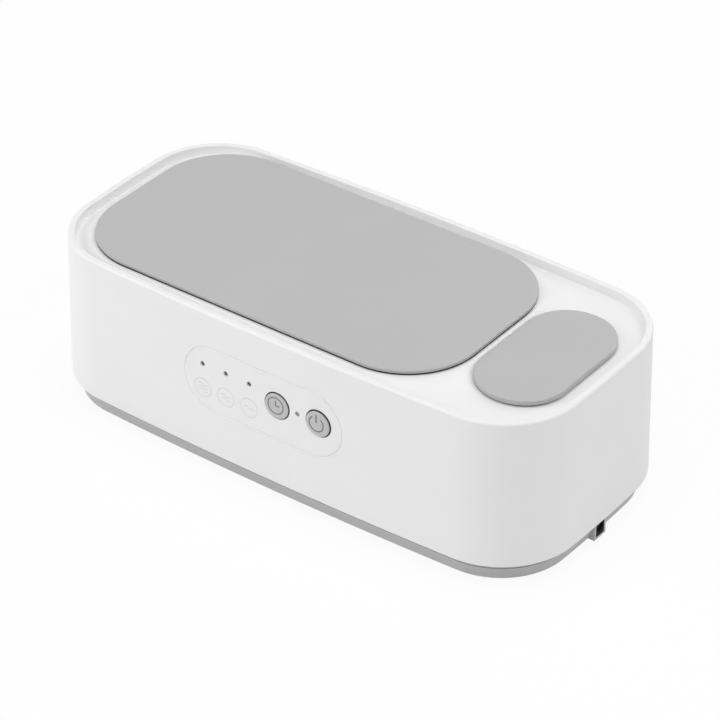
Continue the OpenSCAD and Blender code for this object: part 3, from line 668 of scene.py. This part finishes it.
def deck(s, deck_in, lining_top):
    """Deck inside the rim, with rounded lips at the two mouths. It falls from a collar round the tank's mouth
    to the rim's foot and the small lid's seat: the height is the smooth step of the share that the distance
    to the low edges has in the distances to both."""
    lip, seat = MOUTH_EDGE, CAP_OVERHANG - 0.1
    brow, rim_foot, well_edge = LID_PLAN.at(-COLLAR_OUT), CASING_PLAN.at(deck_in), CAP_PLAN.at(seat)

    def slope(p):
        low = np.minimum(reach(p, rim_foot), reach(p, well_edge))
        share = low / (low + reach(p, brow))
        return upright(p, DECK_Z + (COLLAR_Z - DECK_Z) * share * share * (3 - 2 * share))

    s.sheet(sweep(LID_PLAN, rows(
        (-COLLAR_OUT, COLLAR_Z), bend(TANK_IN - lip, COLLAR_Z - lip, lip, 90, 0), (TANK_IN, DECK_UNDER))))
    s.sheet(sweep(CAP_PLAN, rows(
        (seat, DECK_Z), bend(WELL_IN - lip, DECK_Z - lip, lip, 90, 0), (WELL_IN, DECK_UNDER))))
    steps = [LID_PLAN.at(-COLLAR_OUT - d) for d in np.arange(0.3, 6.1, 0.3)]
    s.fill([rim_foot, brow, well_edge], slope, 0.0, np.concatenate(steps))
    s.fill([lining_top[:, :2], LID_PLAN.at(TANK_IN), CAP_PLAN.at(WELL_IN)], lambda p: upright(p, DECK_UNDER))


def control_panel():
    """White stadium insert, flush with the wall and a hairline inside its pocket, with round holes for caps
    and lights, each with a quarter-circle edge."""
    s = Shape()
    stadium, holes = stadium_plan(), panel_holes()
    inner = SEAM + SEAM_EDGE + 0.3
    seam = np.full(len(stadium.radius), SEAM)
    rise = stadium.normal[:, 1]
    o, depth = seam_lip(rise, seam + upward(rise), seam)
    s.sheet(carry(stadium, np.vstack([seam + inner - SEAM, o]), np.vstack([0 * seam, depth])))
    s.fill([stadium.at(inner)] + [h.at(-HOLE_BAND) for h in holes], lambda p: on_front(p, 0.0), 1.6)
    s.fill([stadium.at(SEAM)] + [h.at(0) for h in holes], lambda p: on_front(p, PANEL_T), 3.0)
    q = np.radians(np.linspace(0, 90, 5))[:, None]
    o = np.vstack([[-HOLE_BAND], HOLE_EDGE * (np.sin(q) - 1), [0]])
    depth = np.vstack([[0], HOLE_EDGE * (1 - np.cos(q)), [PANEL_T]])
    for h in holes:
        s.sheet(carry(h, o, depth))
    return s.build("panel_insert", "housing", WHITE, ["control_panel"])


def lid(name, body, plan, top, thick, skirt_in, replaces):
    """Grey lid: flat top, rounded edge, overhanging plate, and the skirt that drops into the mouth."""
    s = Shape()
    under, foot = top - thick, DECK_Z - SKIRT_DROP
    o = skirt_in + LID_SLIP
    i = o + SKIRT_T
    e, u, f = SKIRT_EDGE, UNDER_EDGE, SKIRT_FILLET
    skin = sweep(plan, rows(
        (LID_EDGE + 0.6, top), bend(LID_EDGE, top - LID_EDGE, LID_EDGE, 90, 180, 6),
        bend(u, under + u, u, 180, 270, 3), (o - e, under), bend(o - e, under - e, e, 90, 0, 3),
        bend(o + e, foot + e, e, 180, 270, 3), bend(i - e, foot + e, e, 270, 360, 3),
        (i, under - f), bend(i + f, under - f, f, 180, 90, 3)))
    s.sheet(skin)
    s.face(skin[0])
    s.face(skin[-1])
    return s.build(name, body, GREY, replaces)


def seal(name, body, plan, foot, top, o, width, shade_reach, finish, replaces):
    """Silicone seal: a ring from its seat to the plate's underside, with a soft lip that runs out along the
    seat towards the plate's edge, where its dark tone is painted shade of the gap under the plate."""
    s = Shape()
    lip, tip = SEAL_EDGE, o - shade_reach
    s.sheet(sweep(plan, rows(
        (o + width, foot), (tip + lip, foot), bend(tip + lip, foot + lip, lip, 270, 90, 6),
        (o - lip, foot + 2 * lip), bend(o - lip, foot + 3 * lip, lip, 270, 360, 3), (o, top),
        (o + width, top), (o + width, foot))))
    return s.build(name, body, finish, replaces)


def basin(name, plan, o, flange, depth, replaces):
    """Drawn steel basin: a flange, a rounded mouth, straight walls and a floor edge of a quarter circle,
    inside and out."""
    s = Shape()
    floor = FLANGE_Z - depth
    lip, t, e = DRAWN_MOUTH, SHEET_T, DRAWN_EDGE
    flat = o + e + 1.0
    skin = sweep(plan, rows(
        (flat, floor), bend(o + e, floor + e, e, 270, 180, 9), (o, FLANGE_Z - lip),
        bend(o - lip, FLANGE_Z - lip, lip, 0, 90), (o - flange, FLANGE_Z), (o - flange, FLANGE_Z - t),
        (o - t, FLANGE_Z - t), (o - t, floor + e), bend(o + e, floor + e, e + t, 180, 270, 9),
        (flat, floor - t)))
    s.sheet(skin)
    s.face(skin[0])
    s.face(skin[-1])
    return s.build(name, "housing", STEEL, replaces)


def base_cover():
    """Grey tray: outline with a straight taper, a rounded bottom edge and a set-in groove at the top, floor
    with foot recesses and screw wells, a lip that locates the casing, and the framed boss of the inlet at the
    +X end."""
    s = Shape()
    slope = math.atan(BASE_TAPER)
    c_z = BASE_Z + BASE_EDGE
    c_o = BASE_REVEAL + BASE_TAPER * (PART_Z - c_z) + BASE_EDGE / math.cos(slope)
    flat, floor_in = c_o + 0.6, c_o + BASE_WALL
    groove, groove_z = BASE_REVEAL + GROOVE_IN, PART_Z - GROOVE_H
    s.sheet(sweep(CASING_PLAN, rows(
        (flat, BASE_Z), bend(c_o, c_z, BASE_EDGE, 270, 180 + math.degrees(slope), 7),
        (BASE_REVEAL + BASE_TAPER * GROOVE_H, groove_z), (groove, groove_z), (groove, PART_Z),
        (BASE_REVEAL + BASE_WALL, PART_Z), (floor_in, FLOOR_Z))))
    recesses = [circle_plan(x, y, RECESS_R) for x, y in FEET]
    wells = [circle_plan(x, y, WELL_R, 32) for x, y in POSTS]
    s.fill([CASING_PLAN.at(flat)] + [c.at(0) for c in recesses + wells], lambda p: upright(p, BASE_Z))
    s.fill([CASING_PLAN.at(floor_in)] + [c.at(0) for c in wells], lambda p: upright(p, FLOOR_Z))
    for c in recesses:
        recess = sweep(c, rows((0, BASE_Z), (0, BASE_Z + RECESS_DEPTH)))
        s.sheet(recess)
        s.face(recess[-1])
    root, shoulder = FLOOR_Z - WALL_ROOT, PART_Z - WELL_SHOULDER
    for c, (x, y) in zip(wells, POSTS):
        s.sheet(sweep(c, rows((0, BASE_Z), (0, FLOOR_Z))))
        s.turn((x, y, 0), "z", [
            (WELL_R, root), (WELL_R, shoulder), (WELL_HOLE, shoulder), (WELL_HOLE, PART_Z),
            (WELL_TOWER, PART_Z), (WELL_TOWER, root), (WELL_R, root)], 32)
    top, sunk = PART_Z + LIP_H, PART_Z - LIP_ROOT
    s.sheet(sweep(CASING_PLAN, rows(
        (LIP_OUT, sunk), (LIP_OUT, top - 0.3), (LIP_OUT + 0.25, top), (LIP_IN, top), (LIP_IN, sunk),
        (LIP_OUT, sunk))))
    for x, y in BOARD_POSTS:
        s.boss((x, y, 0), "z", BOARD_POST_R, BOSS_HOLE, FLOOR_Z, FLOOR_Z + BOARD_POST_H, root)
    inlet_boss(s)
    return s.build("base_tray", "housing", BASE_GREY, ["base_cover"])


def inlet_hole():
    """The inlet's opening seen along X: a rounded rectangle."""
    plan = rounded_plan(INLET_W, INLET_Z1 - INLET_Z0, 0.35, 8, 6, 6)
    return plan.moved((INLET_Y, (INLET_Z0 + INLET_Z1) / 2))


def inlet_boss(s):
    """Framed boss: a rounded rectangle carried along X to a softened face, then back as the opening's
    wall."""
    outer = rounded_plan(INLET_W + 2 * INLET_WALL, BASE_H - 0.02, 0.5, 8, 6, 6)
    outer = outer.moved((INLET_Y, (BASE_Z + PART_Z) / 2 + 0.01))
    x0, e, lip = INLET_X - INLET_LEN, INLET_SOFT, INLET_LIP
    outside = rows((0, x0), (0, INLET_X - e), bend(e, INLET_X - e, e, 180, 90, 3), (e + 0.1, INLET_X))
    opening = rows((-lip - 0.1, INLET_X), bend(-lip, INLET_X - lip, lip, 90, 0, 3), (0, x0))
    p = np.concatenate([sweep(outer, outside), sweep(inlet_hole(), opening), sweep(outer, outside[:1])])
    s.sheet(p[..., [2, 0, 1]])


def inlet_lining():
    """Black sleeve of the inlet: the opening's rounded rectangle, a little inside its wall, carried along X
    and back."""
    s = Shape()
    x0, x1 = INLET_X - INLET_LEN, INLET_X - 0.12
    out, thin = 0.02, 0.2
    p = sweep(inlet_hole(), rows((out, x0), (out, x1), (thin, x1), (thin, x0), (out, x0)))
    s.sheet(p[..., [2, 0, 1]])
    return s.build("inlet_lining", "housing", BLACK)


def button(name, body, at, replaces):
    """Round cap: flat face, softened edge, straight side, retaining flange and the stem that meets the
    switch."""
    s = Shape()
    r, e, wide = BUTTON_D / 2, BUTTON_EDGE, BUTTON_D / 2 + BUTTON_FLANGE
    edge = bend(r - e, BUTTON_FACE + e, e, 270, 360)
    s.turn((at[0], 0, at[1]), "y", rows(
        (0, BUTTON_FACE), (r - e - 0.5, BUTTON_FACE), edge, (r, SEAT_Y), (wide, SEAT_Y), (wide, SEAT_Y + 1),
        (BUTTON_STEM_R, SEAT_Y + 1), (BUTTON_STEM_R, PLUNGER_Y), (0, PLUNGER_Y)), 72)
    return s.build(name, body, BUTTON_GREY, replaces)


def ribbon(s, path, width, face, proud, closed=False):
    """Flat mark: a rectangle of that width and height carried along a path on a face, closed at its ends."""
    path = np.asarray(path, float)
    if closed:
        way = np.roll(path, -1, axis=0) - np.roll(path, 1, axis=0)
    else:
        way = np.gradient(path, axis=0)
    way /= np.linalg.norm(way, axis=1)[:, None]
    side = np.stack([-way[:, 1], way[:, 0]], axis=1) * width / 2
    sunk = 0.05
    lines = [(path - side, -proud), (path + side, -proud), (path + side, sunk), (path - side, sunk)]
    p = np.stack([face(q, d) for q, d in lines + lines[:1]], axis=0)
    s.sheet(p, ring=closed)
    if not closed:
        s.face(p[:4, 0])
        s.face(p[:4, -1])


def arc_path(at, r, a0, a1, n):
    """Points of a circle from a0 to a1 degrees, seen square on."""
    a = np.radians(np.linspace(a0, a1, n))
    return np.stack([at[0] + r * np.cos(a), at[1] + r * np.sin(a)], axis=1)


def on_cap(xz, depth):
    """Points of a button's flat face, at a depth below it."""
    return np.stack([xz[:, 0], np.full(len(xz), BUTTON_FACE + depth), xz[:, 1]], axis=1)


def timer_mark():
    """Clock: a ring and two hands, the second a hair higher where they cross."""
    s = Shape()
    x, z = TIMER[0] - 0.25, TIMER[1] + 0.25
    proud = 0.03
    ribbon(s, arc_path((x, z), 3.2, 0, 360, 65)[:-1], 0.5, on_cap, proud, True)
    ribbon(s, [(x, z + 2.0), (x, z + 0.8), (x, z - 0.1)], 0.55, on_cap, proud)
    ribbon(s, [(x - 0.1, z), (x + 0.8, z), (x + 1.6, z)], 0.5, on_cap, proud + 0.001)
    return s.build("timer_mark", "timer_button", ICON)


def power_mark():
    """Power sign: a ring open at the top and an upright bar."""
    s = Shape()
    x, z = POWER[0] - 0.4, POWER[1]
    proud = 0.03
    ribbon(s, arc_path((x, z), 2.9, 122, 413, 56), 0.55, on_cap, proud)
    ribbon(s, [(x, z + 3.75), (x, z + 2.0), (x, z + 0.45)], 0.6, on_cap, proud)
    return s.build("power_mark", "power_button", ICON)


def mode_marks():
    """Three faint round marks, holding three, two and one wave lines: a line's height is an amplitude times
    the sine of one turn along it. They stand a hair proud, and their grey is painted shade of that shallow
    relief."""
    s = Shape()
    t = np.linspace(0, 1, 33)
    proud, half, amplitude, pitch = 0.02, 2.1, 0.38, 1.35
    for i, count in enumerate((3, 2, 1)):
        x = MODE_X + MODE_STEP * i
        ribbon(s, arc_path((x, MODE_Z), MODE_R, 0, 360, 73)[:-1], 0.36, on_front, proud, True)
        for k in range(count):
            z = MODE_Z + (k - (count - 1) / 2) * pitch
            wave = np.stack([x + half * (2 * t - 1), z + amplitude * np.sin(2 * np.pi * t)], axis=1)
            ribbon(s, wave, 0.34, on_front, proud)
    return s.build("mode_marks", "housing", FAINT_SHADE)


def light_pipes():
    """Smoked light pipes: a shallow dome in each hole, a shank and a flange behind the wall."""
    s = Shape()
    r, wide = LIGHT_D / 2, LIGHT_D / 2 + LIGHT_FLANGE
    a = np.radians(np.linspace(0, 90, 6))
    for x, z in LIGHTS:
        top = on_front(np.array([x, z]), 0.0)[1] + LIGHT_SINK
        dome = np.stack([r * np.sin(a), top + LIGHT_DOME * (1 - np.cos(a))], axis=1)
        s.turn((x, 0, z), "y", rows(
            dome, (r, SEAT_Y), (wide, SEAT_Y), (wide, SEAT_Y + 1), (r, SEAT_Y + 1), (r, BOARD_Y - 0.9),
            (0, BOARD_Y - 0.9)), 28)
    return s.build("light_windows", "housing", SMOKED, ["light_pipes"])


def foot_pads():
    """Rubber feet: a softened disc in each recess."""
    s = Shape()
    top = BASE_Z + FOOT_SUNK
    for x, y in FEET:
        s.turn((x, y, 0), "z", rows(
            (0, 0), (FOOT_FLAT, 0), bend(FOOT_FLAT, FOOT_EDGE, FOOT_EDGE, 270, 350, 4), (FOOT_NECK, BASE_Z),
            (FOOT_R, BASE_Z), (FOOT_R, top), (0, top)))
    return s.build("foot_pads", "housing", FOOT, ["rubber_feet"])


upper_casing()
control_panel()
base_cover()
inlet_lining()
lid("main_lid_plate", "main_lid", LID_PLAN, LID_TOP, LID_T, TANK_IN, ["main_lid"])
lid("small_lid_plate", "small_lid", CAP_PLAN, CAP_TOP, CAP_T, WELL_IN, ["small_lid"])
# The gaskets' dark lips under the plates' edges are painted shade of the gap beneath the plates
seal("main_lid_gasket", "main_lid", LID_PLAN, COLLAR_Z, LID_TOP - LID_T, LID_OVERHANG, SEAL_W, SEAL_SHADE_REACH,
     SEAL, ["main_lid_seal"])
seal("small_lid_gasket", "small_lid", CAP_PLAN, DECK_Z, CAP_TOP - CAP_T, CAP_OVERHANG, CAP_SEAL_W,
     CAP_SEAL_SHADE_REACH, PALE_SEAL, ["small_lid_seal"])
basin("tank_basin", LID_PLAN, TANK_IN, FLANGE_W, TANK_DEPTH, ["tank"])
basin("lens_basin", CAP_PLAN, WELL_IN, WELL_FLANGE_W, WELL_DEPTH, ["lens_well"])
button("timer_cap", "timer_button", TIMER, ["timer_button"])
button("power_cap", "power_button", POWER, ["power_button"])
timer_mark()
power_mark()
mode_marks()
light_pipes()
foot_pads()

# Solids that stay as they are
for finish, nodes in {
    CLAMP: ["flange_clamp"], SEAL: ["tank_gasket", "lens_well_gasket"], CERAMIC: ["piezo_disc"],
    PLATED: ["clamp_screws", "driver_board_screws", "control_board_screws", "base_screws"],
    SLEEVE: ["piezo_leads", "control_harness", "inlet_leads"], BOARD: ["driver_board", "control_board"],
    FERRITE: ["transformer_core"], WINDING: ["transformer_coil", "driver_choke"], SINK: ["driver_heatsink"],
    BLACK: ["driver_transistors", "driver_chip", "driver_capacitors", "switch_bodies", "timer_plunger",
            "power_plunger", "dc_socket"],
    PLUG: ["board_connectors"], CLEAR: ["status_leds"], CONTACT: ["dc_socket_pin"],
}.items():
    for name in nodes:
        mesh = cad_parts[name].data
        mesh.materials.clear()
        mesh.materials.append(finish)


def direction(azimuth, elevation):
    """Unit vector from the origin: azimuth in degrees from -Y towards +X, elevation up from the floor."""
    a, e = math.radians(azimuth), math.radians(elevation)
    return Vector((math.sin(a) * math.cos(e), -math.cos(a) * math.cos(e), math.sin(e)))


# Camera at the photograph's viewing angle
AZIMUTH, ELEVATION = 36.788, 34.308
TARGET = Vector((1.355, 1.502, PART_Z + 21.255)) * MM
DISTANCE, LENS = 1.15072, 165.62
back = direction(AZIMUTH, ELEVATION)
camera = bpy.data.objects.new("camera", bpy.data.cameras.new("camera"))
camera.data.lens, camera.data.sensor_width, camera.data.clip_start = LENS, 36.0, 0.01
camera.location = TARGET + back * DISTANCE
camera.rotation_euler = back.to_track_quat("Z", "Y").to_euler()
bpy.context.scene.collection.objects.link(camera)
bpy.context.scene.camera = camera

# Square soft lights that point at the origin: azimuth, elevation and power in watts
LAMP_DISTANCE, LAMP_SIZE = 1.6, 1.0
for name, azimuth, elevation, power in [
        ("left", -45, 20, 9.7), ("front", 0, 50, 2.4), ("right", 90, 43, 6.4), ("back", 180, 35, 4.4),
        ("above", 0, 90, 7.8)]:
    lamp = bpy.data.lights.new(name + "_light", "AREA")
    lamp.size, lamp.energy = LAMP_SIZE, power
    softbox = bpy.data.objects.new(name + "_light", lamp)
    softbox.location = direction(azimuth, elevation) * LAMP_DISTANCE
    softbox.rotation_euler = softbox.location.to_track_quat("Z", "Y").to_euler()
    bpy.context.scene.collection.objects.link(softbox)


def shown(nodes):
    """1 on the rays that show the background: those from the camera, from mirrors and through glass."""
    kinds = ("Camera", "Glossy", "Transmission")
    ray = [nodes.node("ShaderNodeLightPath", out=f"Is {kind} Ray") for kind in kinds]
    return ray[0] | ray[1] | ray[2]


# Pale floor: it keeps the object's shadow, and the camera and mirrors see it lifted towards white
LIFT, HALF = 0.92, 6.0
floor = Finish("pale_floor")
floor.set(Base_Color=rgba(0.9), Roughness=0.9)
glow = floor.node("ShaderNodeEmission", {}, {"Color": rgba(1), "Strength": 1.0})
lifted = floor.node("ShaderNodeMixShader", {}, {
    "Fac": LIFT * shown(floor), 1: Value(floor, floor.shader.outputs[0]), 2: glow})
floor.put(floor.tree.nodes["Material Output"].inputs["Surface"], lifted)
ground = bpy.data.meshes.new("ground")
ground.from_pydata([(-HALF, -HALF, 0), (HALF, -HALF, 0), (HALF, HALF, 0), (-HALF, HALF, 0)], [],
                   [(0, 1, 2, 3)])
ground.materials.append(floor.material)
ground_obj = bpy.data.objects.new("ground", ground)
bpy.context.scene.collection.objects.link(ground_obj)

# White surround for the same rays, and a little even light
EVEN_LIGHT = 0.3
world = bpy.data.worlds.new("studio")
world.use_nodes = True
bpy.context.scene.world = world
sky = Nodes(world.node_tree)
soft = sky.node("ShaderNodeBackground", {}, {"Color": rgba(1), "Strength": EVEN_LIGHT})
white = sky.node("ShaderNodeBackground", {}, {"Color": rgba(1), "Strength": 1.0})
sky.put(sky.tree.nodes["World Output"].inputs["Surface"],
        sky.node("ShaderNodeMixShader", {}, {"Fac": shown(sky), 1: soft, 2: white}))
bpy.context.scene.view_settings.view_transform = "Standard"
